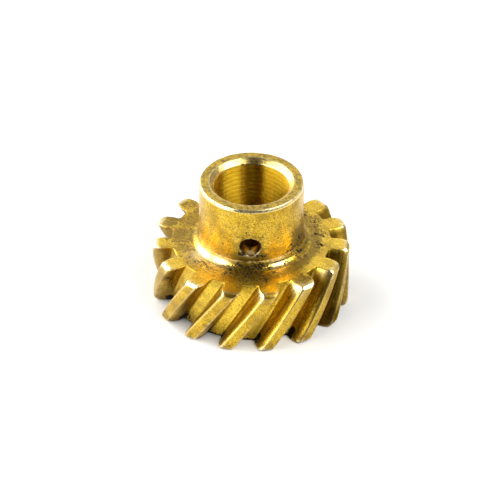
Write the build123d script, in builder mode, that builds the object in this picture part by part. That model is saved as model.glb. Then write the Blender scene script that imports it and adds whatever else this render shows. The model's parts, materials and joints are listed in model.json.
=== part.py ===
"""One-piece bronze helical drive gear with a hub, a straight bore and a cross pin hole.

The gear stands on its toothed end, hub up.  The origin is at the middle of the gear's
bottom face, +Z runs up the bore and the cross pin hole opens towards -Y.  Millimetres.
"""

import os
from math import acos, atan, cos, degrees, radians, sin, tan

from build123d import *

os.makedirs("parts", exist_ok=True)

# ---- driving dimensions ----

# Teeth: a right-hand helix, hobbed at an old-style low pressure angle
tooth_count = 15
helix_angle = 32.0
normal_pressure_angle = 14.5
pitch_radius = 14.5
tip_radius = 15.94
root_radius = 12.8
root_fillet = 0.45
tip_bevel = 0.45
tooth_phase = 18.9  # centre of a tooth on the top face, from +X towards +Y

# Gear body and hub
face_width = 10.97
overall_height = 22.13
hub_radius = 8.4
hub_foot_fillet = 1.4
hub_rim_width = 0.2
hub_rim_height = 0.5

# Bore for the shaft, with a lead-in at each end
bore_radius = 5.93
bore_mouth_width = 0.81
bore_mouth_height = 0.78
bore_tail_chamfer = 0.5

# Cross hole for the retaining pin, through one wall of the hub
pin_hole_radius = 1.5875
pin_hole_height = 15.06
pin_hole_edge_break = 0.15

# ---- worked-out dimensions ----

cutter_overrun = 1.0
flank_steps = 6
half_pitch_angle = 180 / tooth_count
gap_half_angle = half_pitch_angle / 2
transverse_pressure_angle = atan(tan(radians(normal_pressure_angle)) / cos(radians(helix_angle)))
base_radius = pitch_radius * cos(transverse_pressure_angle)
twist_per_mm = degrees(tan(radians(helix_angle)) / pitch_radius)
cutter_length = face_width + 2 * cutter_overrun
cutter_radius = tip_radius + cutter_overrun
gap_centre = tooth_phase + half_pitch_angle - twist_per_mm * (face_width + cutter_overrun)


def involute(angle):
    """The involute function, in radians."""
    return tan(angle) - angle


def polar(radius, angle):
    """A point at a radius and an angle in degrees."""
    return (radius * cos(radians(angle)), radius * sin(radians(angle)))


def flank_angle(radius):
    """Half the angle of the tooth gap at a radius, in degrees."""
    opening = involute(acos(base_radius / radius)) - involute(transverse_pressure_angle)
    return gap_half_angle + degrees(opening)


def turned_blank():
    """The blank as it leaves the lathe: bevelled gear body, hub, foot fillet and bore."""
    hub_foot = face_width + hub_foot_fillet
    fillet_end = hub_radius + hub_foot_fillet
    with BuildPart() as blank:
        with BuildSketch(Plane.XZ):
            with BuildLine():
                Polyline(
                    (fillet_end, face_width),
                    (tip_radius - tip_bevel, face_width),
                    (tip_radius, face_width - tip_bevel),
                    (tip_radius, tip_bevel),
                    (tip_radius - tip_bevel, 0),
                    (bore_radius + bore_tail_chamfer, 0),
                    (bore_radius, bore_tail_chamfer),
                    (bore_radius, overall_height - bore_mouth_height),
                    (bore_radius + bore_mouth_width, overall_height),
                    (hub_radius - hub_rim_width, overall_height),
                    (hub_radius, overall_height - hub_rim_height),
                    (hub_radius, hub_foot),
                )
                RadiusArc((hub_radius, hub_foot), (fillet_end, face_width), -hub_foot_fillet)
            make_face()
        revolve(axis=Axis.Z)
    return blank.part


def gap_section():
    """Cross section of one tooth gap: involute flanks, radial below the base circle."""
    climb = cutter_radius - base_radius
    radii = [base_radius + climb * step / flank_steps for step in range(flank_steps + 1)]
    left_flank = [polar(radius, flank_angle(radius)) for radius in radii]
    right_flank = [(x, -y) for x, y in left_flank]
    floor_angle = flank_angle(base_radius)
    left_corner = polar(root_radius, floor_angle)
    right_corner = polar(root_radius, -floor_angle)
    with BuildSketch() as section:
        with BuildLine():
            Spline(*left_flank)
            Line(left_flank[0], left_corner)
            ThreePointArc(left_corner, (root_radius, 0), right_corner)
            Line(right_corner, right_flank[0])
            Spline(*right_flank)
            ThreePointArc(right_flank[-1], (cutter_radius, 0), left_flank[-1])
        make_face()
        fillet(section.vertices().sort_by(Axis.X)[:2], root_fillet)
    return section.sketch


def tooth_gap():
    """One tooth gap as a twisted solid that runs past both end faces of the gear."""
    start = Pos(0, 0, -cutter_overrun) * Rot(0, 0, gap_centre) * gap_section()
    return Solid.extrude_linear_with_rotation(
        start.faces()[0],
        center=(0, 0, -cutter_overrun),
        normal=(0, 0, cutter_length),
        angle=twist_per_mm * cutter_length,
    )


# ---- the gear ----

blank = turned_blank()
gap = tooth_gap()

with BuildPart() as helical_gear:
    add(blank)
    with PolarLocations(0, tooth_count):
        add(gap, mode=Mode.SUBTRACT)
    with Locations((0, 0, pin_hole_height)):
        Cylinder(
            pin_hole_radius,
            tip_radius,
            rotation=(90, 0, 0),
            align=(Align.CENTER, Align.CENTER, Align.MIN),
            mode=Mode.SUBTRACT,
        )
    outer_rim = helical_gear.edges(Select.LAST).sort_by(Axis.Y)[0]
    chamfer(outer_rim, pin_hole_edge_break)

helical_gear.part.label = "helical_gear"
export_step(helical_gear.part, "parts/helical_gear.step")
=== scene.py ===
import json
from math import asin, cos, degrees, pi, radians, sin, sqrt, tan

import bmesh
import bpy
import numpy as np
from mathutils import Matrix, Vector, noise


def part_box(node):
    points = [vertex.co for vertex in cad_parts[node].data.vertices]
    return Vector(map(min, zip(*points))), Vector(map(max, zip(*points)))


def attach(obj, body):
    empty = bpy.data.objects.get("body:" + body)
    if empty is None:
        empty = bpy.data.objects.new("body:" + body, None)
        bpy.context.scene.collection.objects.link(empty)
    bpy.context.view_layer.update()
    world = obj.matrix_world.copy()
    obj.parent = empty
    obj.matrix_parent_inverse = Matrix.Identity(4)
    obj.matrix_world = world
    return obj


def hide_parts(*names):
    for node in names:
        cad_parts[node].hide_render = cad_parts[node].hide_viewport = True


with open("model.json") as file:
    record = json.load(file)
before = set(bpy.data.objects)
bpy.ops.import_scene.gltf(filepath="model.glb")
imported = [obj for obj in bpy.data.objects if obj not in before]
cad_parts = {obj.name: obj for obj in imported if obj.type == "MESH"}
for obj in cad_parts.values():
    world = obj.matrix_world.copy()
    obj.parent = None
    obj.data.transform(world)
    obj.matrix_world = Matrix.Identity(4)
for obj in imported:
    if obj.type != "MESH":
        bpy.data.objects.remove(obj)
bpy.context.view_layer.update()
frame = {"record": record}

# ---- sizes from the frame, in millimetres ----

MM = 0.001
MOUNTS = {mount["name"]: mount for mount in frame["record"]["mounts"]}
LOW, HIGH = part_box("helical_gear")
TIP_RADIUS = HIGH.x / MM
TOP = HIGH.z / MM
BORE_RADIUS = MOUNTS["bore"]["dims"]["r_mm"]
PIN_RADIUS = MOUNTS["pin_hole"]["dims"]["r_mm"]
PIN_HEIGHT = MOUNTS["pin_hole"]["pos_m"][2] / MM

# The rest of the gear's outline, as it is in the CAD part
TEETH = 15
HELIX_ANGLE = radians(32)
PRESSURE_ANGLE = radians(14.5)
PITCH_RADIUS = 14.5
ROOT_RADIUS = 12.8
TOOTH_PHASE = 18.9
FACE_HEIGHT = 10.97
HUB_RADIUS = 8.4
FOOT_FILLET = 1.4
RIM_WIDTH = 0.2
RIM_HEIGHT = 0.5
MOUTH_WIDTH = 0.81
MOUTH_HEIGHT = 0.78
TAIL_CHAMFER = 0.5
BEVEL = 0.45

# Edges as they are after use, which the CAD part has sharp
ROOT_ROUND = 0.45
TIP_ROUND = 0.28
END_ROUND_TOP = 0.07
END_ROUND_BOTTOM = 0.32
CORNER_ROUND = 0.1
FOOT_LEDGE = 0.022
PIN_EDGE = 0.17
PIN_INNER_EDGE = 0.06

# ---- grid of the gear's skin ----

COLUMNS_PER_TOOTH = 28
COLUMNS = TEETH * COLUMNS_PER_TOOTH
STEP = 2 * pi / COLUMNS
FRONT = radians(270)
HOLE_CELLS = 13
ZONE_CELLS = 21
ZONE_PITCH = HUB_RADIUS * STEP
ANGLES = FRONT + STEP * np.arange(COLUMNS)

REGIONS = ["teeth", "face", "foot", "hub", "rim", "bore", "hole"]
BORE_LEAD_RINGS = 12

TRANSVERSE_ANGLE = np.arctan(tan(PRESSURE_ANGLE) / cos(HELIX_ANGLE))
BASE_RADIUS = PITCH_RADIUS * cos(TRANSVERSE_ANGLE)
TWIST = tan(HELIX_ANGLE) / PITCH_RADIUS
HALF_PITCH = pi / TEETH


def involute(angle):
    return np.tan(angle) - angle


def half_thickness(radius):
    """Half the tooth's angle at a radius, radial below the base circle."""
    turn = np.arccos(min(BASE_RADIUS / radius, 1))
    return HALF_PITCH / 2 + involute(TRANSVERSE_ANGLE) - involute(turn)


def curve_points(start, corner, end, count):
    """Points round a corner, ends included, on a quadratic curve."""
    t = np.linspace(0, 1, count)[:, None]
    start, corner, end = np.array(start), np.array(corner), np.array(end)
    return (1 - t) ** 2 * start + 2 * t * (1 - t) * corner + t ** 2 * end


def half_tooth():
    """(radius, angle) from the middle of a gap to just before the middle of the tooth."""
    foot = half_thickness(ROOT_RADIUS)
    crest = half_thickness(TIP_RADIUS)
    floor_end = foot + ROOT_ROUND / ROOT_RADIUS
    floor = [(ROOT_RADIUS, a) for a in np.linspace(-HALF_PITCH, -floor_end, 4)[:3]]
    root = curve_points(
        (ROOT_RADIUS, -floor_end), (ROOT_RADIUS, -foot), (ROOT_RADIUS + ROOT_ROUND, -foot), 4
    )
    climb = np.linspace(ROOT_RADIUS + ROOT_ROUND, TIP_RADIUS - TIP_ROUND, 5)
    flank = [(r, -half_thickness(r)) for r in climb[1:4]]
    shoulder = TIP_RADIUS - TIP_ROUND
    tip = curve_points(
        (shoulder, -half_thickness(shoulder)),
        (TIP_RADIUS, -crest),
        (TIP_RADIUS, -crest + TIP_ROUND / TIP_RADIUS),
        3,
    )
    land = [(TIP_RADIUS, (-crest + TIP_ROUND / TIP_RADIUS) / 2)]
    return np.array([*floor, *root, *flank, *tip, *land])


def gear_outline():
    """x, y of the gear's cross section at the top face, one point for each column."""
    half = half_tooth()
    middle = np.array([[TIP_RADIUS, 0.0]])
    other = half[:0:-1] * (1, -1)
    tooth = np.vstack([half, middle, other])
    tooth_column = COLUMNS_PER_TOOTH // 2
    first_centre = radians(TOOTH_PHASE) + 2 * HALF_PITCH * round(
        (FRONT - radians(TOOTH_PHASE)) / (2 * HALF_PITCH)
    )
    shift = tooth_column - round((first_centre - FRONT) / STEP)
    radius = np.tile(tooth[:, 0], TEETH)
    angle = np.tile(tooth[:, 1], TEETH) + np.repeat(np.arange(TEETH), COLUMNS_PER_TOOTH) * (
        2 * HALF_PITCH
    )
    angle = angle + first_centre
    radius, angle = np.roll(radius, -shift), np.roll(angle, -shift)
    return radius, angle


def soft_min(a, b, width):
    """The smaller of a and b, with the corner between them rounded."""
    near = np.maximum(width - np.abs(a - b), 0) / width
    return np.minimum(a, b) - near ** 2 * width / 4


def row(radius, angle, height):
    """One ring of points, x, y, z in millimetres."""
    radius, height = np.broadcast_to(radius, COLUMNS), np.broadcast_to(height, COLUMNS)
    return np.stack([radius * np.cos(angle), radius * np.sin(angle), height], -1)


def blend_rings(inner, outer, count):
    """Rings between two rings, neither included."""
    steps = np.linspace(0, 1, count + 2)[1:-1]
    return [inner * (1 - s) + outer * s for s in steps]




# ---- rings of points, in order along the skin ----

def side_heights():
    """Heights of the rings up the toothed side, closer together near both ends."""
    near = [0.0, 0.02, 0.07, 0.15, 0.24, 0.34, 0.46, 0.6, 0.8, 1.05]
    middle = np.arange(1.35, FACE_HEIGHT - 1.2, 0.3)
    return np.array([*near, *middle, *[FACE_HEIGHT - h for h in near[::-1]]])


def end_inset(distance, rounding):
    """How far the tooth outline draws in near an end face, for a rounded edge."""
    reach = np.clip(1 - distance / rounding, 0, 1)
    return rounding * (1 - sqrt(1 - reach ** 2))


def outline_normals(radius, angle):
    """Outline points x, y and their outward normals, in the section's plane."""
    points = np.stack([radius * np.cos(angle), radius * np.sin(angle)], -1)
    along = np.roll(points, -1, 0) - np.roll(points, 1, 0)
    normals = np.stack([along[:, 1], -along[:, 0]], -1)
    return points, normals / np.linalg.norm(normals, axis=1, keepdims=True)


def side_ring(height):
    """The toothed outline at a height, turned by the helix and bevelled at both ends."""
    points, normals = outline_normals(*gear_outline())
    inset = end_inset(height, END_ROUND_BOTTOM) + end_inset(FACE_HEIGHT - height, END_ROUND_TOP)
    points = points - normals * inset
    radius = np.hypot(points[:, 0], points[:, 1])
    angle = np.arctan2(points[:, 1], points[:, 0])
    to_end = min(height, FACE_HEIGHT - height)
    limit = TIP_RADIUS - BEVEL + to_end
    radius = soft_min(radius, min(limit, TIP_RADIUS + 0.02), 0.08)
    return row(radius, angle + TWIST * (height - FACE_HEIGHT), height)


def circles(corners, rounding, spans):
    """Rings along a lathe outline of (radius, height) corners, each corner rounded.

    spans gives how many rings lie between one rounded corner and the next."""
    path = [np.array(corner, float) for corner in corners]
    places = []
    for index in range(1, len(path) - 1):
        before, corner, after = path[index - 1:index + 2]
        back = (before - corner) / np.linalg.norm(before - corner)
        ahead = (after - corner) / np.linalg.norm(after - corner)
        rounded = curve_points(corner + back * rounding, corner, corner + ahead * rounding, 4)
        if index == 1:
            start = before
            places.append(start)
        last = places[-1]
        for share in np.linspace(0, 1, spans[index - 1] + 2)[1:-1]:
            places.append(last + (rounded[0] - last) * share)
        places.extend(rounded)
    last = places[-1]
    for share in np.linspace(0, 1, spans[-1] + 2)[1:]:
        places.append(last + (path[-1] - last) * share)
    return [row(radius, ANGLES, height) for radius, height in places]


def hole_ring_place(i, m, rim, edge):
    """Place in X, Z of a grid point near a pin hole: a square grid that turns round."""
    ring = max(abs(i), abs(m), 1)
    if abs(i) >= abs(m):
        angle = pi / 4 * m / ring if i > 0 else pi - pi / 4 * m / ring
    else:
        angle = pi / 2 - pi / 4 * i / ring if m > 0 else -pi / 2 + pi / 4 * i / ring
    share = (ring - HOLE_CELLS) / (ZONE_CELLS - HOLE_CELLS)
    radius = rim + (edge - rim) * share
    return np.array([cos(angle), sin(angle)]) * radius


def smooth(share):
    share = np.clip(share, 0, 1)
    return share * share * (3 - 2 * share)


def zone_ring(radius, m, rim):
    """A ring of the hub or bore wall that passes the pin hole, m cells above its middle."""
    height = np.full(COLUMNS, PIN_HEIGHT + m * ZONE_PITCH)
    ring = row(radius, ANGLES, height)
    edge = max(radius * sin(ZONE_CELLS * STEP), rim + 0.4)
    for i in range(-ZONE_CELLS, ZONE_CELLS + 1):
        level = max(abs(i), abs(m))
        square = np.array([radius * sin(i * STEP), m * ZONE_PITCH])
        share = smooth((level - HOLE_CELLS) / (ZONE_CELLS - HOLE_CELLS))
        x, z = square * share + hole_ring_place(i, m, rim, edge) * (1 - share)
        ring[i % COLUMNS] = (x, -sqrt(radius ** 2 - x ** 2), PIN_HEIGHT + z)
    return ring


def skin_rings():
    """Every ring in order: bottom face, toothed side, top face, hub, bore."""
    sides = [side_ring(height) for height in side_heights()]
    rings = []
    marks = {}

    # Bottom face, from the bore's lead-in out to the teeth
    tail = BORE_RADIUS + TAIL_CHAMFER
    radii = np.linspace(tail + CORNER_ROUND, 11.2, 5)
    turns = np.linspace(0, -TWIST * FACE_HEIGHT, 5)
    inner = [row(radius, ANGLES + turn, 0.0) for radius, turn in zip(radii, turns)]
    rings += [*inner, *blend_rings(inner[-1], sides[0], 4)]
    marks["bottom"] = (0, len(rings))

    # Toothed side
    marks["side"] = (len(rings), len(rings) + len(sides))
    rings += sides

    # Top face in to the foot of the hub, which curves up into the hub
    rim = row(11.6, ANGLES, FACE_HEIGHT)
    start = len(rings)
    rings += [*blend_rings(sides[-1], rim, 4), rim, row(10.7, ANGLES, FACE_HEIGHT)]
    marks["face"] = (start, len(rings))
    start = len(rings)
    for share in np.linspace(0, 1, 9):
        turn = share * pi / 2
        radius = HUB_RADIUS + FOOT_LEDGE + FOOT_FILLET * (1 - sin(turn))
        height = FACE_HEIGHT + FOOT_FILLET * (1 - cos(turn))
        rings.append(row(radius, ANGLES, height))
    marks["foot"] = (start, len(rings))

    # Hub past the pin holes, rim, mouth of the bore
    start = len(rings)
    marks["hub_zone"] = start
    for m in range(-ZONE_CELLS, ZONE_CELLS + 1):
        rings.append(zone_ring(HUB_RADIUS, m, PIN_RADIUS + PIN_EDGE))
    zone_top = PIN_HEIGHT + ZONE_CELLS * ZONE_PITCH
    outline = [
        (HUB_RADIUS, zone_top + 0.3),
        (HUB_RADIUS, TOP - RIM_HEIGHT),
        (HUB_RADIUS - RIM_WIDTH, TOP),
        (BORE_RADIUS + MOUTH_WIDTH, TOP),
        (BORE_RADIUS, TOP - MOUTH_HEIGHT),
        (BORE_RADIUS, zone_top + 0.3),
    ]
    rings += circles(outline, CORNER_ROUND, (11, 1, 3, 2, 9))
    marks["rim"] = start + 2 * ZONE_CELLS + 1 + 12
    marks["hub"] = (start, len(rings))

    # Bore down past the pin holes to its lead-in at the bottom
    start = len(rings)
    marks["bore_zone"] = start
    for m in range(ZONE_CELLS, -ZONE_CELLS - 1, -1):
        rings.append(zone_ring(BORE_RADIUS, m, PIN_RADIUS + PIN_INNER_EDGE))
    outline = [
        (BORE_RADIUS, PIN_HEIGHT - ZONE_CELLS * ZONE_PITCH - 0.3),
        (BORE_RADIUS, TAIL_CHAMFER),
        (tail, 0.0),
        (tail + CORNER_ROUND * 2, 0.0),
    ]
    rings += circles(outline, CORNER_ROUND, (20, 1, 0))[:-2]
    marks["bore"] = (start, len(rings))
    return rings, marks


# ---- the mesh ----

def ring_perimeter():
    """Grid offsets (i, m) once round the square that becomes a pin hole's rim."""
    n = HOLE_CELLS
    side = range(-n, n)
    right = [(n, m) for m in side]
    top = [(-i, n) for i in side]
    left = [(-n, -m) for m in side]
    bottom = [(i, -n) for i in side]
    return right + top + left + bottom


def hole_wall():
    """Loops of points down the pin hole, from the hub's rounded rim to the bore's."""
    loops = []
    rims = []
    for i, m in ring_perimeter():
        direction = hole_ring_place(i, m, 1, 1)
        rims.append(direction / np.linalg.norm(direction))
    rims = np.array(rims)
    for turn in (30, 60, 90):
        radius = PIN_RADIUS + PIN_EDGE * (1 - sin(radians(turn)))
        depth = PIN_EDGE * (1 - cos(radians(turn)))
        loops.append((rims * radius, HUB_RADIUS, depth))
    for turn in (90, 45):
        radius = PIN_RADIUS + PIN_INNER_EDGE * (1 - sin(radians(turn)))
        depth = PIN_INNER_EDGE * (1 - cos(radians(turn)))
        loops.append((rims * radius, BORE_RADIUS, -depth))
    points = []
    for places, wall, depth in loops:
        x, z = places[:, 0], places[:, 1]
        y = -np.sqrt(wall ** 2 - x ** 2) + depth
        points.append(np.stack([x, y, PIN_HEIGHT + z], -1))
    middle = (points[2] + points[3]) / 2
    return [*points[:3], middle, *points[3:]]


def region_of(ring, marks):
    """Which finish the faces above a ring have."""
    if ring < marks["bottom"][1] or marks["face"][0] - 1 <= ring < marks["face"][1]:
        return REGIONS.index("face")
    if ring < marks["side"][1]:
        return REGIONS.index("teeth")
    if ring < marks["foot"][1] - 1:
        return REGIONS.index("foot")
    if ring < marks["rim"]:
        return REGIONS.index("hub")
    if ring < marks["bore_zone"] - BORE_LEAD_RINGS:
        return REGIONS.index("rim")
    return REGIONS.index("bore")


def skin_mesh():
    """The gear as one closed mesh of quads, with the pin hole open."""
    rings, marks = skin_rings()
    points = np.vstack(rings)
    count = len(rings)

    def index(ring, column):
        return (ring % count) * COLUMNS + column % COLUMNS

    cut = set()
    for first in (marks["hub_zone"], marks["bore_zone"]):
        for m in range(-HOLE_CELLS, HOLE_CELLS):
            for i in range(-HOLE_CELLS, HOLE_CELLS):
                cut.add((first + ZONE_CELLS + m, i % COLUMNS))
    faces = []
    regions = []
    for ring in range(count):
        region = region_of(ring, marks)
        for column in range(COLUMNS):
            if (ring, column) not in cut:
                faces.append((
                    index(ring, column), index(ring, column + 1),
                    index(ring + 1, column + 1), index(ring + 1, column),
                ))
                regions.append(region)

    hub_middle = marks["hub_zone"] + ZONE_CELLS
    bore_middle = marks["bore_zone"] + ZONE_CELLS
    loops = [[index(hub_middle + m, i) for i, m in ring_perimeter()]]
    for wall in hole_wall():
        base = len(points)
        points = np.vstack([points, wall])
        loops.append(list(range(base, base + len(wall))))
    loops.append([index(bore_middle - m, i) for i, m in ring_perimeter()])
    size = len(loops[0])
    for near, far in zip(loops, loops[1:]):
        for a in range(size):
            b = (a + 1) % size
            faces.append((near[a], near[b], far[b], far[a]))
            regions.append(REGIONS.index("hole"))
    return points, faces, regions


# Places of grime, tarnish, brown stains, painted shade, painted highlights and painted reflections: (azimuth
# in degrees, radius, height, reach across, reach up, strength)
GRIME_AND_SHADE = [
    (262, 8.7, 11.6, 1.9, 0.8, 0.82),
    (280, 8.8, 11.5, 2.0, 0.8, 0.82),
    (250, 9.3, 11.1, 1.4, 0.5, 0.66),
    (290, 9.4, 11.1, 1.6, 0.5, 0.66),
    (252, 10.0, 11.0, 1.4, 0.5, 0.65),
    (268, 10.6, 11.0, 3.0, 0.8, 0.62),
    (280, 11.3, 11.0, 1.4, 0.8, 0.62),
    (262, 11.4, 11.0, 1.0, 0.8, 0.5),
    # Painted shade in the upper part of the pin hole
    (270, 7.1, 16.2, 0.95, 0.9, 0.9),
    (261, 8.4, 13.7, 0.9, 0.6, 0.95),
    (281, 8.4, 13.3, 1.2, 0.55, 0.80),
    (258, 8.4, 17.1, 0.8, 0.4, 0.45),
    (265, 8.4, 18.1, 0.9, 0.5, 0.45),
    (267, 8.4, 19.1, 0.25, 0.7, 0.55),
    (336, 8.4, 13.6, 1.4, 1.7, 0.72),
    (324, 8.5, 12.8, 1.3, 0.6, 0.70),
    (320, 8.4, 13.6, 1.0, 0.5, 0.66),
    (331, 8.8, 11.6, 1.6, 0.8, 0.78),
    (316, 8.4, 12.9, 0.8, 0.35, 0.6),
    (312, 9.2, 11.3, 1.2, 0.5, 0.5),
    (245, 8.4, 13.1, 0.9, 0.4, 0.45),
    (217, 11.0, 11.0, 1.8, 0.6, 0.55),
    (226, 10.7, 11.0, 1.6, 0.6, 0.5),
    (40, 10.7, 11.0, 1.8, 0.6, 0.62),
    (8, 11.1, 11.0, 1.5, 0.6, 0.64),
    (352, 11.2, 11.0, 1.3, 0.6, 0.60),
    (24, 11.1, 11.0, 1.5, 0.6, 0.62),
    (345, 8.9, 12.0, 0.9, 0.9, 0.64),
    (354, 12.8, 11.0, 0.3, 0.6, 0.7),
    (211, 14.5, 11.0, 0.35, 0.6, 0.7),
    (209, 15.1, 8.2, 0.5, 0.7, 0.62),
    (221, 15.5, 3.7, 0.35, 0.5, 0.78),
    (218, 12.9, 1.3, 1.3, 1.2, 0.90),
    (120, 9.0, 11.5, 2.5, 0.7, 0.5),
    (80, 8.4, 14.5, 1.5, 0.8, 0.5),
]
TARNISH = [
    (178, 11.2, 11.0, 2.8, 1.2, 1.0),
    (195, 11.3, 11.0, 2.0, 1.0, 0.8),
    (161, 13.9, 11.0, 2.2, 1.2, 0.95),
    (138, 14.0, 11.0, 2.0, 1.0, 0.6),
    (5, 10.8, 11.0, 1.4, 0.8, 0.9),
    (28, 10.9, 11.0, 1.6, 0.8, 0.95),
    (345, 10.8, 11.0, 1.4, 0.8, 0.7),
    (307, 13.9, 11.0, 1.7, 1.0, 1.0),
    (325, 10.0, 11.0, 1.5, 0.8, 0.7),
    (333, 8.5, 14.2, 2.0, 2.6, 1.0),
    (318, 8.7, 12.3, 2.0, 0.8, 0.9),
    (270, 8.6, 12.0, 5.5, 0.35, 0.6),
    (272, 8.4, 17.2, 3.0, 0.8, 0.5),
    (302, 8.4, 17.0, 1.6, 2.0, 0.4),
    (205, 15.5, 3.0, 2.2, 2.4, 0.9),
    (245, 15.9, 4.0, 1.6, 3.5, 0.5),
    (264, 15.9, 8.0, 1.6, 2.5, 0.45),
    (350, 15.5, 5.0, 3.5, 4.5, 0.8),
    (60, 13.0, 11.0, 3.0, 1.5, 0.6),
    (100, 15.5, 5.0, 4.0, 4.0, 0.6),
    (20, 15.5, 4.0, 3.0, 4.0, 0.5),
]
PAINTED_HIGHLIGHTS = [
    # Painted highlights on the foot fillet
    (212, 9.2, 11.5, 1.8, 1.0, 0.80),
    (236, 8.9, 11.7, 1.7, 0.9, 0.80),
    (301, 8.9, 11.7, 1.3, 0.8, 0.75),
    # Painted highlights at three tooth corners
    (276.5, 14.9, 10.5, 0.7, 0.8, 0.9),
    (301, 14.9, 10.4, 1.0, 1.2, 0.9),
    (323, 14.6, 10.6, 0.6, 0.6, 0.7),
    # Painted highlight on the pin hole's lower wall, and painted glints on its lower rim
    (270, 7.5, 13.6, 1.0, 0.45, 0.9),
    (263.5, 8.5, 13.7, 0.45, 0.4, 1.0),
    (276.5, 8.5, 13.7, 0.45, 0.4, 1.0),
]
SHADE_AND_FILM_PLACES = [
    # Painted shade in the pin hole and down the lower bore
    (270, 7.1, 16.3, 0.95, 1.1, 0.95),
    (90, 5.9, 4.0, 6.5, 5.5, 1.40),
    # Painted reflection of the hub on the face in front of it
    (270, 9.6, 11.2, 3.4, 1.6, 0.80),
    (282, 10.8, 11.0, 2.6, 1.0, 0.70),
    (256, 10.6, 11.0, 2.4, 1.0, 0.60),
    (300, 9.6, 11.2, 1.6, 1.0, 0.40),
    (238, 9.8, 11.0, 1.4, 0.8, 0.30),
    (209, 15.0, 8.0, 0.9, 1.3, 0.75),
    (200, 15.0, 3.6, 1.3, 1.6, 0.30),
    (237, 15.3, 9.6, 0.5, 0.9, 0.90),
    (233, 15.3, 8.1, 0.5, 0.9, 0.90),
    (307, 14.0, 11.0, 1.3, 0.6, 0.40),
    (329, 15.3, 1.8, 2.0, 2.4, 0.95),
    # Painted dark reflections on two front tooth bevels
    (258.5, 15.75, 10.75, 1.5, 0.45, 0.90),
    (282, 15.75, 10.75, 1.3, 0.45, 0.90),
]
AMBER_HUB_REFLECTION_PLACES = [
    # Painted reflection of the hub on the face in front of it
    (268, 10.8, 11.0, 4.6, 1.4, 0.90),
    (300, 11.2, 11.0, 2.4, 1.0, 0.60),
    (238, 11.4, 11.0, 2.4, 1.0, 0.50),
]
RING_CENTRE = (-0.6, -0.1)
RING_RADIUS = 11.8


def stain_and_light_map(points, marked_places):
    """How strongly each point is marked, 0 to 1, from a list of places of stains and painted light."""
    total = np.zeros(len(points))
    for azimuth, radius, height, across, up, strength in marked_places:
        angle = radians(azimuth)
        flat = points[:, :2] - np.array([radius * cos(angle), radius * sin(angle)])
        spread = (flat ** 2).sum(1) / across ** 2 + ((points[:, 2] - height) / up) ** 2
        total = np.maximum(total, strength * np.exp(-spread))
    return total


def dull_rings(points):
    """The duller ring on the gear's top face, a little off centre, and the hub's end."""
    reach = np.hypot(points[:, 0] - RING_CENTRE[0], points[:, 1] - RING_CENTRE[1])
    inside = smooth((RING_RADIUS + 0.2 - reach) / 0.4)
    end_ring = np.where(points[:, 2] > TOP - 0.15, 0.55, 0.0)
    on_face = smooth((points[:, 2] - FACE_HEIGHT + 0.4) / 0.2) * smooth(
        (FACE_HEIGHT + 0.9 - points[:, 2]) / 0.6
    )
    crescent = smooth((reach - 9.9) / 0.9) * smooth(points[:, 0] / 8)
    return np.maximum(inside * on_face * (0.50 + 0.7 * crescent), end_ring)


def uneven(mesh, scale_to_mm):
    """A low swell in the surface, and small losses where an edge turns sharply."""
    shape = bmesh.new()
    shape.from_mesh(mesh)
    shape.normal_update()
    bends = {}
    for vertex in shape.verts:
        turn = [e.calc_face_angle_signed(0) / max(e.calc_length() * scale_to_mm, 0.05)
                for e in vertex.link_edges]
        bends[vertex.index] = max(turn)
    edge = np.zeros(len(shape.verts))
    for vertex in shape.verts:
        bend = bends[vertex.index]
        edge[vertex.index] = min(max((bend - 0.8) / 3, 0), 1)
        at = vertex.co * scale_to_mm
        swell = noise.noise(at * 0.5) * 0.014 + noise.noise(at * 1.9) * 0.005
        chip = noise.noise(at * 1.1 + Vector((7, 3, 1)))
        loss = edge[vertex.index] * 0.09 * max(chip, 0) ** 1.5
        vertex.co += vertex.normal * (swell - loss) / scale_to_mm
    shape.to_mesh(mesh)
    shape.free()
    return edge


def fresh_cuts_and_highlights(points):
    """Where a bevel or lead-in was cut last and stays brighter, whitened as painted highlights, left off the
    front bevels and weaker on the right ones, with painted highlights and glints at listed places.
    """
    radius = np.hypot(points[:, 0], points[:, 1])
    height = points[:, 2]
    bevels = (radius > TIP_RADIUS - BEVEL - 0.1) & (height > FACE_HEIGHT - BEVEL)
    rim = (radius > HUB_RADIUS - RIM_WIDTH - 0.05) & (height > TOP - RIM_HEIGHT)
    mouth = (radius < BORE_RADIUS + MOUTH_WIDTH) & (height > TOP - MOUTH_HEIGHT)
    amount = np.where(bevels | rim, 0.75, np.where(mouth, 0.32, 0.0))
    # The painted highlight is left off the bevels at the front
    unhighlighted_front_bevels = bevels & (points[:, 1] < 0)
    amount = np.where(unhighlighted_front_bevels, amount * smooth((np.abs(points[:, 0]) - 4.8) / 2), amount)
    turned_away = bevels & (points[:, 0] > 11)
    amount = np.where(turned_away, amount * 0.3, amount)
    return np.maximum(amount, stain_and_light_map(points, PAINTED_HIGHLIGHTS))


def packed_dirt_and_shade(points):
    """Packed dirt and painted shade at the bottom ends of the tooth gaps, and darkening round the pin hole's
    upper edge.
    """
    radius = np.hypot(points[:, 0], points[:, 1])
    reach = 0.6 + 1.5 * smooth((radius - 12.82) / 0.25)
    gaps = 1.2 * smooth((reach - points[:, 2]) / 0.4) * smooth((14.5 - radius) / 0.8)
    across_hole = np.hypot(points[:, 0], points[:, 2] - PIN_HEIGHT)
    rim = smooth((PIN_RADIUS + PIN_EDGE + 0.03 - across_hole) / 0.06) * (points[:, 1] < -7)
    rim = rim * smooth((points[:, 2] - PIN_HEIGHT + 0.8) / 0.6)
    return np.maximum(gaps, rim)


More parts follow.
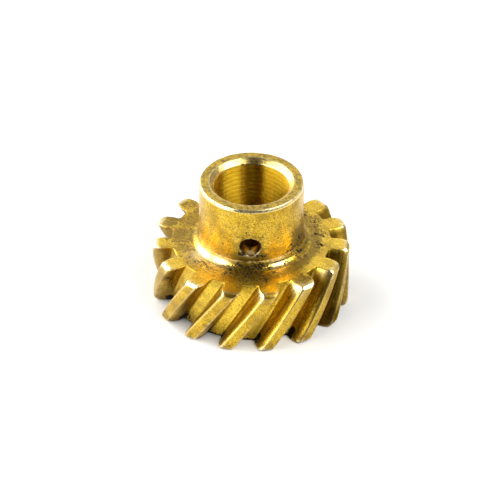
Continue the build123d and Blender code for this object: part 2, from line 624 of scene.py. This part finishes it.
def shade_and_brown_film(points):
    """Painted shade and dark reflections, with some brown stains: painted dark reflections on the flanks and
    tips to the sides, most on the right, painted shade in the gullet root corners, on the right-hand gullet
    floors, in the pin hole and down the lower bore, darker round the pin hole's rim, and brown stains at
    listed places.
    """
    radius = np.hypot(points[:, 0], points[:, 1])
    below_face = smooth((FACE_HEIGHT - 0.1 - points[:, 2]) / 0.6)
    flank = smooth((15.6 - radius) / 0.8) * smooth((radius - 12.95) / 0.4) * below_face
    # Painted shade in the gullet root corners
    corner = smooth((13.4 - radius) / 0.3) * smooth((radius - 12.8) / 0.1) * below_face
    floor = smooth((14.5 - radius) / 0.6) * smooth((radius - 12.5) / 0.2) * below_face
    across = points[:, 0]
    # Painted dark reflections on the flanks, most on the right
    flank = flank * (
        0.24 * smooth((across - 5) / 6) + 0.55 * smooth((across - 10.5) / 2)
        + 0.40 * smooth((-across - 6) / 4)
    )
    # Darker round the pin hole's rim, more at the top
    across_hole = np.hypot(points[:, 0], points[:, 2] - PIN_HEIGHT)
    rim = smooth((PIN_RADIUS + PIN_EDGE + 0.04 - across_hole) / 0.08) * (points[:, 1] < 0)
    rim = rim * (0.75 + 0.22 * smooth((points[:, 2] - PIN_HEIGHT + 1.0) / 0.8))
    # Painted shade on the gullet floors on the right
    floor = floor * 0.92 * smooth((across - 9.0) / 2.5)
    film = np.maximum(flank, np.minimum(stain_and_light_map(points, SHADE_AND_FILM_PLACES), 0.96))
    # Painted dark reflection near the tooth tips on the right
    outer = smooth((radius - 14.7) / 0.5) * smooth((15.95 - radius) / 0.3) * below_face
    outer = outer * 0.55 * smooth((across - 4) / 3)
    film = np.maximum(film, outer)
    film = np.maximum(film, np.maximum(corner * 0.35, floor))
    return np.maximum(film, rim)


def amber(points):
    """A deeper, more orange tone on the flanks, painted shade towards the bottom of the gullets, and a
    painted reflection of the hub on the face in front of it.
    """
    radius = np.hypot(points[:, 0], points[:, 1])
    flank = smooth((15.4 - radius) / 0.6) * smooth((radius - 13.2) / 0.3)
    flank = flank * smooth((FACE_HEIGHT - 0.1 - points[:, 2]) / 0.4)
    # Painted shade, deeper towards the bottom of the gullets
    floor = smooth((14.0 - radius) / 0.6) * smooth((radius - 12.6) / 0.2)
    floor = floor * 0.6 * smooth((6 - points[:, 2]) / 5)
    return np.maximum(np.maximum(0.5 * flank, floor), stain_and_light_map(points, AMBER_HUB_REFLECTION_PLACES))


def rubbed(points):
    """How far wear keeps a place bright and bare, with painted light: the tooth gaps, brighter towards their
    top and less on the right, and the face outside the dull ring.
    """
    radius = np.hypot(points[:, 0], points[:, 1])
    # Gaps: wear with painted light, brighter towards the top and less on the right
    gaps = smooth((15.3 - radius) / 0.8) * smooth((FACE_HEIGHT - 0.02 - points[:, 2]) / 0.1)
    gaps = gaps * smooth((radius - 12.3) / 0.4) * smooth((points[:, 2] - 0.5) / 5)
    reach = np.hypot(points[:, 0] - RING_CENTRE[0], points[:, 1] - RING_CENTRE[1])
    gaps = gaps * (1 - 0.8 * smooth((points[:, 0] - 9) / 3))
    land = smooth((reach - RING_RADIUS) / 0.5) * smooth((points[:, 2] - FACE_HEIGHT + 0.05) / 0.04)
    land = land * (0.25 + 0.45 * smooth((points[:, 0] + 2) / 8)) * (1 - 0.6 * smooth(points[:, 1] / 7))
    return np.maximum(gaps, land)


def add_attribute(mesh, name, values):
    attribute = mesh.attributes.new(name, "FLOAT", "POINT")
    attribute.data.foreach_set("value", np.asarray(values, np.float32))


def drop_loose(mesh):
    shape = bmesh.new()
    shape.from_mesh(mesh)
    loose = [vertex for vertex in shape.verts if not vertex.link_faces]
    bmesh.ops.delete(shape, geom=loose, context="VERTS")
    bmesh.ops.recalc_face_normals(shape, faces=shape.faces)
    shape.to_mesh(mesh)
    shape.free()


def gear_piece():
    points, faces, regions = skin_mesh()
    mesh = bpy.data.meshes.new("helical_gear_worn")
    mesh.from_pydata([tuple(point) for point in points * MM], [], faces)
    mesh.polygons.foreach_set("material_index", regions)
    drop_loose(mesh)
    edge = uneven(mesh, 1 / MM)
    places = np.array([v.co for v in mesh.vertices]) / MM
    inner = np.hypot(places[:, 0], places[:, 1]) < 15
    edge = np.where(inner & (np.abs(places[:, 2] - FACE_HEIGHT) < 0.4), 0, edge)
    # edge: worn sharp edges and fresh cuts, with painted highlights
    add_attribute(mesh, "edge", np.maximum(edge, fresh_cuts_and_highlights(places)))
    # Painted shade and dark reflections, with brown stains
    add_attribute(mesh, "film", shade_and_brown_film(places))
    add_attribute(mesh, "rubbed", rubbed(places))
    add_attribute(mesh, "amber", amber(places))
    # Grime stains, with painted shade in the pin hole and at the bottoms of the tooth gaps
    add_attribute(mesh, "grime", np.maximum(stain_and_light_map(places, GRIME_AND_SHADE), packed_dirt_and_shade(places)))
    # Darker towards the bottom of the gear
    low_ends = 0.5 * smooth((3.6 - places[:, 2]) / 3)
    tarnish = np.maximum(stain_and_light_map(places, TARNISH), dull_rings(places))
    add_attribute(mesh, "tarnish", np.maximum(tarnish, low_ends))
    mesh.shade_smooth()
    piece = bpy.data.objects.new("helical_gear_worn", mesh)
    bpy.context.scene.collection.objects.link(piece)
    return piece


# ---- bronze ----

class Graph:
    """A small helper for building a material's nodes."""

    def __init__(self, material):
        material.use_nodes = True
        self.tree = material.node_tree
        self.shader = self.tree.nodes["Principled BSDF"]

    def add(self, kind, inputs=None, **settings):
        made = self.tree.nodes.new("ShaderNode" + kind)
        for name, value in settings.items():
            setattr(made, name, value)
        for name, value in (inputs or {}).items():
            self.put(made.inputs[name], value)
        return made

    def put(self, socket, value):
        if isinstance(value, bpy.types.NodeSocket):
            self.tree.links.new(value, socket)
        elif hasattr(socket.default_value, "__len__") and len(socket.default_value) == 4:
            socket.default_value = (*value, 1)
        else:
            socket.default_value = value

    def math(self, operation, *values, clamp=False):
        made = self.add("Math", operation=operation, use_clamp=clamp)
        for socket, value in zip(made.inputs, values):
            self.put(socket, value)
        return made.outputs[0]

    def ramp(self, value, low, high, to_low=0.0, to_high=1.0):
        """value from low..high to to_low..to_high, with soft ends."""
        made = self.add("MapRange", interpolation_type="SMOOTHSTEP", inputs={
            "Value": value, "From Min": low, "From Max": high,
            "To Min": to_low, "To Max": to_high,
        })
        return made.outputs["Result"]

    def blend(self, share, first, second):
        made = self.add("Mix", data_type="RGBA")
        self.put(made.inputs[0], share)
        self.put(made.inputs[6], first)
        self.put(made.inputs[7], second)
        return made.outputs[2]

    def noise(self, place, scale, detail=3.0, roughness=0.55):
        made = self.add("TexNoise", inputs={
            "Vector": place, "Scale": scale, "Detail": detail, "Roughness": roughness,
        })
        return made.outputs["Fac"]

    def attribute(self, name):
        return self.add("Attribute", attribute_name=name).outputs["Fac"]

    def stretched(self, place, stretch):
        made = self.add("VectorMath", operation="MULTIPLY", inputs={0: place, 1: stretch})
        return made.outputs[0]


CLEAN = (0.66, 0.415, 0.022)
WARM = (0.53, 0.29, 0.008)
PALE = (0.78, 0.54, 0.10)
# Whitened tone for fresh cuts and painted highlights
FRESH_AND_HIGHLIGHT = (0.92, 0.78, 0.46)
RUBBED_AND_LIT = (0.90, 0.625, 0.065)
DEEP = (0.68, 0.44, 0.018)
DEEP_WARM = (0.62, 0.35, 0.010)
AMBER_AND_PAINTED_LIGHT = (0.47, 0.285, 0.003)
OLIVE = (0.155, 0.118, 0.028)
BROWN = (0.23, 0.14, 0.024)
TAN = (0.29, 0.205, 0.050)
DARK_TAN = (0.20, 0.145, 0.036)
SHADE_AND_FILM = (0.070, 0.032, 0.002)
# Black for grime, pits and painted shade
BLACK_GRIME_AND_SHADE = (0.012, 0.007, 0.002)
GRAZING_METAL = (1.0, 1.0, 1.0)
GRAZING_SHADE_AND_FILM = (0.45, 0.28, 0.05)


def turning_marks(graph, place, way):
    """Fine grooves left by the tool: round the hub and bore, or circles on a face."""
    if way == "round":
        return graph.noise(graph.stretched(place, (0.35, 0.35, 4.2)), 1.0, 4.0)
    if way == "threads":
        wave = graph.add("TexWave", bands_direction="Z", inputs={
            "Vector": place, "Scale": 0.39, "Distortion": 0.8, "Detail": 3.0,
            "Detail Scale": 1.5,
        })
        return wave.outputs["Fac"]
    flat = graph.stretched(place, (1, 1, 0))
    length = graph.add("VectorMath", operation="LENGTH", inputs={0: flat})
    made = graph.add("TexNoise", noise_dimensions="1D", inputs={
        "W": length.outputs["Value"], "Scale": 3.0, "Detail": 4.0,
    })
    return made.outputs["Fac"]


def broken(graph, amount, texture, depth, low, high):
    """A mark's amount, stain or painted shade, with its outline broken up by a texture."""
    shift = graph.math("MULTIPLY", graph.math("SUBTRACT", texture, 0.5), depth)
    reach = graph.ramp(amount, 0.02, 0.25)
    edge = graph.ramp(graph.math("ADD", amount, shift), low, high)
    return graph.math("MULTIPLY", edge, reach)


def bronze(
    name, way, marks, rough, stretch, warm, tarnish, pits, grain,
    tints=(OLIVE, BROWN), tones=(CLEAN, PALE),
):
    """Golden bronze. way and marks set the tool marks, stretch how far they pull the shine."""
    material = bpy.data.materials.new(name)
    graph = Graph(material)
    place = graph.add("VectorMath", operation="SCALE", inputs={
        0: graph.add("TexCoord").outputs["Object"], "Scale": 1 / MM,
    }).outputs[0]

    cloud = graph.noise(place, 0.30, 5.0, 0.62)
    mottle = graph.noise(place, 1.3, 5.0, 0.6)
    speck = graph.noise(place, 3.4, 4.0, 0.65)
    grit = graph.noise(place, 6.5, 3.0, 0.6)
    lines = turning_marks(graph, place, way)

    colour = graph.blend(graph.ramp(mottle, 0.40, 0.66, 0.0, 0.7), *tones)
    colour = graph.blend(graph.math("MULTIPLY", graph.ramp(cloud, 0.40, 0.58), warm), colour, WARM)
    colour = graph.blend(graph.ramp(speck, 0.52, 0.38, 0.0, min(1.3 * tarnish, 0.75)), colour, BROWN)
    if marks:
        depth = {"round": 0.42, "threads": 0.24, "circles": 0.12}[way]
        colour = graph.blend(graph.ramp(lines, 0.52, 0.66, 0.0, depth), colour, BROWN)
    if way == "threads":
        streaks = graph.noise(graph.stretched(place, (1, 1, 0.04)), 1.0, 3.0, 0.6)
        colour = graph.blend(graph.ramp(streaks, 0.54, 0.66, 0.0, 0.45), colour, BROWN)
    # Wear with painted light in the tooth gaps
    clean_and_lit = graph.math("MULTIPLY", graph.attribute("rubbed"), 0.85)
    colour = graph.blend(clean_and_lit, colour, RUBBED_AND_LIT)
    # Orange tone with painted shade and a painted reflection of the hub
    colour = graph.blend(graph.attribute("amber"), colour, AMBER_AND_PAINTED_LIGHT)
    colour = graph.blend(graph.ramp(grit, 0.50, 0.36, 0.0, min(1.3 * tarnish, 0.6)), colour, BROWN)
    colour = graph.blend(graph.ramp(grit, 0.50, 0.64, 0.0, min(1.4 * tarnish, 0.7)), colour, RUBBED_AND_LIT)
    patches = graph.math("ADD", graph.math("MULTIPLY", speck, 0.6), graph.math("MULTIPLY", mottle, 0.4))
    stained = broken(graph, graph.attribute("tarnish"), patches, 3.6, 0.26, 0.70)
    general = graph.math("MULTIPLY", graph.ramp(cloud, 0.48, 0.64), tarnish)
    stained = graph.math("MAXIMUM", stained, general)
    flecks = graph.math("MULTIPLY", graph.ramp(speck, 0.50, 0.62), tarnish)
    stained = graph.math("MAXIMUM", stained, flecks)
    tint = graph.blend(graph.ramp(mottle, 0.42, 0.58), *tints)
    cover = graph.math("MULTIPLY", stained, graph.ramp(patches, 0.43, 0.57, 0.50, 1.0))
    colour = graph.blend(cover, colour, tint)

    # Worn edges and fresh cuts, whitened as painted highlights
    fresh_and_highlight = graph.math("MULTIPLY", graph.attribute("edge"), graph.ramp(mottle, 0.70, 0.50, 0.35, 1.0))
    colour = graph.blend(graph.math("MULTIPLY", fresh_and_highlight, 0.8), colour, FRESH_AND_HIGHLIGHT)

    # Brown stains with painted shade and painted dark reflections
    film = graph.math("MULTIPLY", graph.attribute("film"), graph.ramp(mottle, 0.30, 0.62, 1.0, 0.85))
    colour = graph.blend(film, colour, SHADE_AND_FILM)
    # Grime, packed dirt and painted shade at the gap bottoms and in the pin hole
    dirt_and_shade = broken(graph, graph.attribute("grime"), patches, 3.4, 0.34, 0.80)
    colour = graph.blend(dirt_and_shade, colour, BLACK_GRIME_AND_SHADE)

    cells = graph.add("TexVoronoi", inputs={"Vector": place, "Scale": 1.25})
    pick = graph.add("SeparateColor", inputs={"Color": cells.outputs["Color"]}).outputs[0]
    chosen = graph.ramp(pick, 1 - pits, 1.02 - pits)
    hole = graph.math("MULTIPLY", graph.ramp(cells.outputs["Distance"], 0.16, 0.07), chosen)
    colour = graph.blend(graph.math("MULTIPLY", hole, 0.8), colour, BLACK_GRIME_AND_SHADE)
    graph.put(graph.shader.inputs["Base Color"], colour)

    dull = graph.math("MAXIMUM", dirt_and_shade, hole)
    metal = graph.math("SUBTRACT", 1.0, graph.math("MULTIPLY", dull, 0.9))
    graph.put(graph.shader.inputs["Metallic"], metal)
    sheen = graph.math("SUBTRACT", 0.5, graph.math("MULTIPLY", dull, 0.4))
    graph.put(graph.shader.inputs["Specular IOR Level"], sheen)
    # The grazing shine is tinted where the stains and painted shade lie
    graph.put(graph.shader.inputs["Specular Tint"], graph.blend(film, GRAZING_METAL, GRAZING_SHADE_AND_FILM))
    gloss = graph.math("ADD", rough, graph.ramp(lines, 0.3, 0.7, -0.04, 0.05))
    gloss = graph.math("ADD", gloss, graph.math("MULTIPLY", stained, 0.14))
    gloss = graph.math("SUBTRACT", gloss, graph.math("MULTIPLY", fresh_and_highlight, 0.10))
    gloss = graph.math("ADD", gloss, graph.math("MULTIPLY", dull, 0.35), clamp=True)
    graph.put(graph.shader.inputs["Roughness"], gloss)
    if stretch:
        graph.put(graph.shader.inputs["Anisotropic"], stretch)
        graph.put(graph.shader.inputs["Anisotropic Rotation"], 0.25)
        tangent = graph.add("Tangent", direction_type="RADIAL", axis="Z")
        graph.put(graph.shader.inputs["Tangent"], tangent.outputs["Tangent"])

    height = graph.math("MULTIPLY", lines, marks)
    height = graph.math("ADD", height, graph.math("MULTIPLY", mottle, grain * 2.0))
    height = graph.math("ADD", height, graph.math("MULTIPLY", speck, grain))
    height = graph.math("SUBTRACT", height, graph.math("MULTIPLY", hole, 0.06))
    bump = graph.add("Bump", inputs={"Height": height, "Strength": 1.0, "Distance": MM})
    graph.put(graph.shader.inputs["Normal"], bump.outputs["Normal"])
    return material


def gear_materials():
    """One finish for each region, in the order of REGIONS."""
    return [
        bronze("bronze_teeth", "circles", 0.000, 0.30, 0.0, 0.45, 0.60, 0.35, 0.004),
        bronze("bronze_face", "circles", 0.012, 0.31, 0.3, 0.90, 0.55, 0.70, 0.018),
        bronze("bronze_foot", "circles", 0.006, 0.20, 0.2, 0.30, 0.30, 0.30, 0.014),
        bronze("bronze_hub", "round", 0.014, 0.25, 0.5, 0.55, 0.68, 0.60, 0.008),
        bronze("bronze_rim", "circles", 0.008, 0.28, 0.4, 0.10, 0.5, 0.25, 0.014, (TAN, DARK_TAN)),
        bronze("bronze_bore", "threads", 0.020, 0.40, 1.0, 0.05, 0.10, 0.05, 0.003,
               (OLIVE, BROWN), (DEEP, DEEP_WARM)),
        bronze("bronze_hole", "round", 0.004, 0.28, 0.0, 0.50, 0.60, 0.10, 0.008),
    ]


gear = gear_piece()
for material in gear_materials():
    gear.data.materials.append(material)
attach(gear, "root")
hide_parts("helical_gear")

# ---- camera ----

CAMERA_TURN = radians(1.03)
CAMERA_RISE = 0.628
CAMERA_ROLL = radians(0.2609)
CAMERA_DISTANCE = 0.41286
CAMERA_TARGET = Vector((-0.00019, 0, 0.00856))
LENS = 183.5


def add_camera():
    turn = Matrix.Rotation(CAMERA_TURN, 3, "Z")
    back = Vector((0, -cos(CAMERA_RISE), sin(CAMERA_RISE)))
    up = Vector((0, sin(CAMERA_RISE), cos(CAMERA_RISE)))
    right = Vector((1, 0, 0))
    rolled_right = right * cos(CAMERA_ROLL) + up * sin(CAMERA_ROLL)
    rolled_up = up * cos(CAMERA_ROLL) - right * sin(CAMERA_ROLL)
    axes = Matrix((turn @ rolled_right, turn @ rolled_up, turn @ back)).transposed()
    data = bpy.data.cameras.new("photo_camera")
    data.lens = LENS
    data.sensor_width = 36
    data.clip_start = 0.01
    camera = bpy.data.objects.new("photo_camera", data)
    camera.matrix_world = Matrix.Translation(turn @ (CAMERA_TARGET + back * CAMERA_DISTANCE)) @ axes.to_4x4()
    bpy.context.scene.collection.objects.link(camera)
    bpy.context.scene.camera = camera


add_camera()

# ---- floor and light ----

LIGHT_DISTANCE = 2.0


def add_floor():
    bpy.ops.mesh.primitive_plane_add(size=8)
    floor = bpy.context.object
    floor.name = "floor"
    material = bpy.data.materials.new("pale_floor")
    graph = Graph(material)
    graph.put(graph.shader.inputs["Base Color"], (0.69, 0.69, 0.68))
    graph.put(graph.shader.inputs["Roughness"], 0.6)
    floor.data.materials.append(material)


def add_panel(name, azimuth, rise, width, height, glow):
    """A soft light panel that faces the gear. Azimuth is from +X towards +Y, in degrees."""
    data = bpy.data.lights.new(name, "AREA")
    data.shape = "RECTANGLE"
    data.size = 2 * LIGHT_DISTANCE * tan(radians(width / 2))
    data.size_y = 2 * LIGHT_DISTANCE * tan(radians(height / 2))
    data.energy = glow * pi * data.size * data.size_y
    panel = bpy.data.objects.new(name, data)
    around, up = radians(azimuth), radians(rise)
    panel.location = Vector((cos(around) * cos(up), sin(around) * cos(up), sin(up))) * LIGHT_DISTANCE
    panel.rotation_euler = panel.location.to_track_quat("Z", "Y").to_euler()
    bpy.context.scene.collection.objects.link(panel)


def add_world():
    """A pale room: bright behind the gear, dimmer to the right, dark on the near side."""
    world = bpy.data.worlds.new("studio")
    bpy.context.scene.world = world
    world.use_nodes = True
    tree = world.node_tree
    place = tree.nodes.new("ShaderNodeTexCoord")
    split = tree.nodes.new("ShaderNodeSeparateXYZ")
    tree.links.new(place.outputs["Generated"], split.inputs[0])
    total = None
    brightness = tree.nodes["Background"].inputs["Strength"]
    changes = (
        ("Y", -0.30, 0.45, 0.03, 1.4),
        ("X", 0.15, 0.70, 1.0, 0.28),
        ("Z", 0.65, 0.95, 1.0, 0.35),
    )
    for axis, low, high, to_low, to_high in changes:
        level = tree.nodes.new("ShaderNodeMapRange")
        level.interpolation_type = "SMOOTHSTEP"
        level.inputs["From Min"].default_value = low
        level.inputs["From Max"].default_value = high
        level.inputs["To Min"].default_value = to_low
        level.inputs["To Max"].default_value = to_high
        tree.links.new(split.outputs[axis], level.inputs["Value"])
        if total:
            product = tree.nodes.new("ShaderNodeMath")
            product.operation = "MULTIPLY"
            tree.links.new(total, product.inputs[0])
            tree.links.new(level.outputs["Result"], product.inputs[1])
            total = product.outputs[0]
        else:
            total = level.outputs["Result"]
    tree.links.new(total, brightness)
    tree.nodes["Background"].inputs["Color"].default_value = (1, 1, 1, 1)


add_floor()
add_world()
add_panel("left_panel", 179, 27, 96, 52, 5.6)
add_panel("right_panel", -22, 44, 50, 36, 8.0)
bpy.context.scene.view_settings.view_transform = "Standard"
